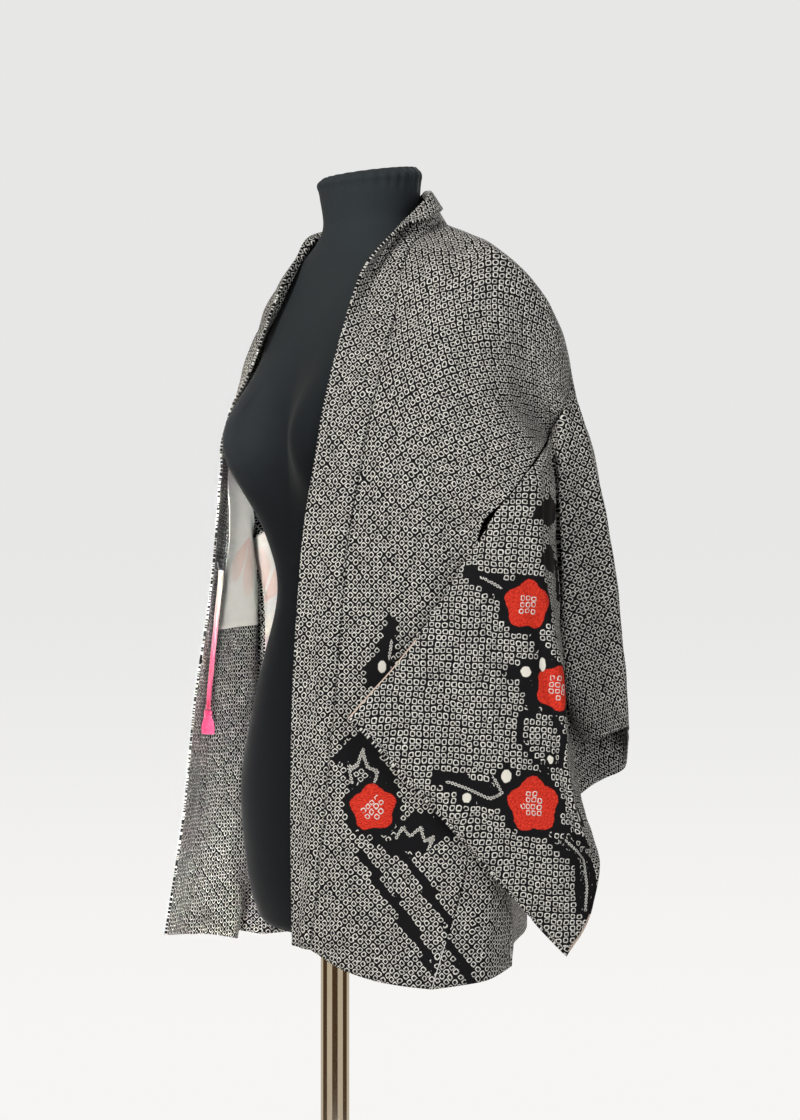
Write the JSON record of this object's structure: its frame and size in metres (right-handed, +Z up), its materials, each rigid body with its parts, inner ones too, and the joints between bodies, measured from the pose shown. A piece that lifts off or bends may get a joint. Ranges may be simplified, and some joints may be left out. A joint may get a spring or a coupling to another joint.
{
  "type": "haori jacket on a limbless dress form with a pole stand",
  "caption": "Short kimono jacket with wide hanging sleeves and a long turned collar, open in front over a dress form on a pole and round base.",
  "frame": {"origin": "centre of the round base's underside, on the floor under the pole", "axes": "+Z up along the pole, -Y towards the open front, +X towards the wearer's left"},
  "size_m": [0.6485, 0.3941, 1.5122],
  "materials": {
    "shibori_silk": "near-black silk crepe tied all over in small off-white rings, with vermilion plum blossoms",
    "lining_silk": "off-white satin lining with pale pink petals",
    "form_jersey": "dark slate matte jersey",
    "pole_chrome": "polished",
    "himo_silk": "braided silk, cream to pink",
    "loop_silk": "black cord"
  },
  "bodies": {
    "root": {"body_left": "shibori_silk", "body_right": "shibori_silk", "gusset_left": "shibori_silk", "gusset_right": "shibori_silk", "collar": "shibori_silk", "sleeve_left": "shibori_silk", "sleeve_right": "shibori_silk", "lining_front_right": "lining_silk", "lining_back_right": "lining_silk", "himo_loop_right": "loop_silk", "himo_cord_right": "himo_silk", "himo_tassel_right": "himo_silk", "form_torso": "form_jersey", "stand_pole": "pole_chrome", "stand_base": "pole_chrome"}
  },
  "joints": []
}
